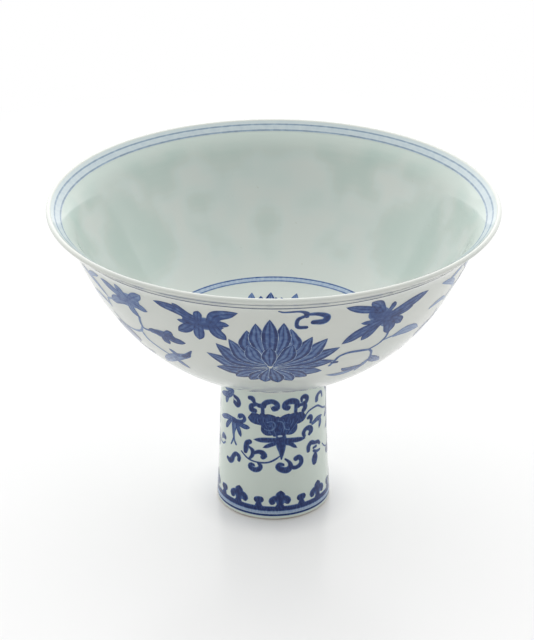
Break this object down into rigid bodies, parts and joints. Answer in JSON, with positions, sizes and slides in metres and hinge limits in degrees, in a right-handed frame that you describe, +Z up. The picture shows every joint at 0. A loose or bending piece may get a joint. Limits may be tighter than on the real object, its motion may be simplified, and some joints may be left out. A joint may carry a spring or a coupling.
{
  "type": "stem cup",
  "caption": "Footed porcelain stem cup with a wide bowl, thin turned-out lip and hollow cylindrical stem, painted under clear glaze in cobalt blue.",
  "frame": {"origin": "middle of the foot rim, on the surface the cup stands on", "axes": "+Z up along the turning axis, -Y towards the viewer of the picture"},
  "size_m": [0.156, 0.156, 0.115],
  "materials": {
    "bowl_porcelain": "clear glossy glaze with a faint green-blue tint over white porcelain, painted underneath in cobalt blue",
    "stem_porcelain": "clear glossy glaze over white porcelain, painted in cobalt blue, bare at the foot rim",
    "seam_slip": "fired porcelain slip under clear glaze that pools in the corner"
  },
  "bodies": {
    "root": {"bowl": "bowl_porcelain", "stem": "stem_porcelain", "luting_ring": "seam_slip"}
  },
  "joints": []
}
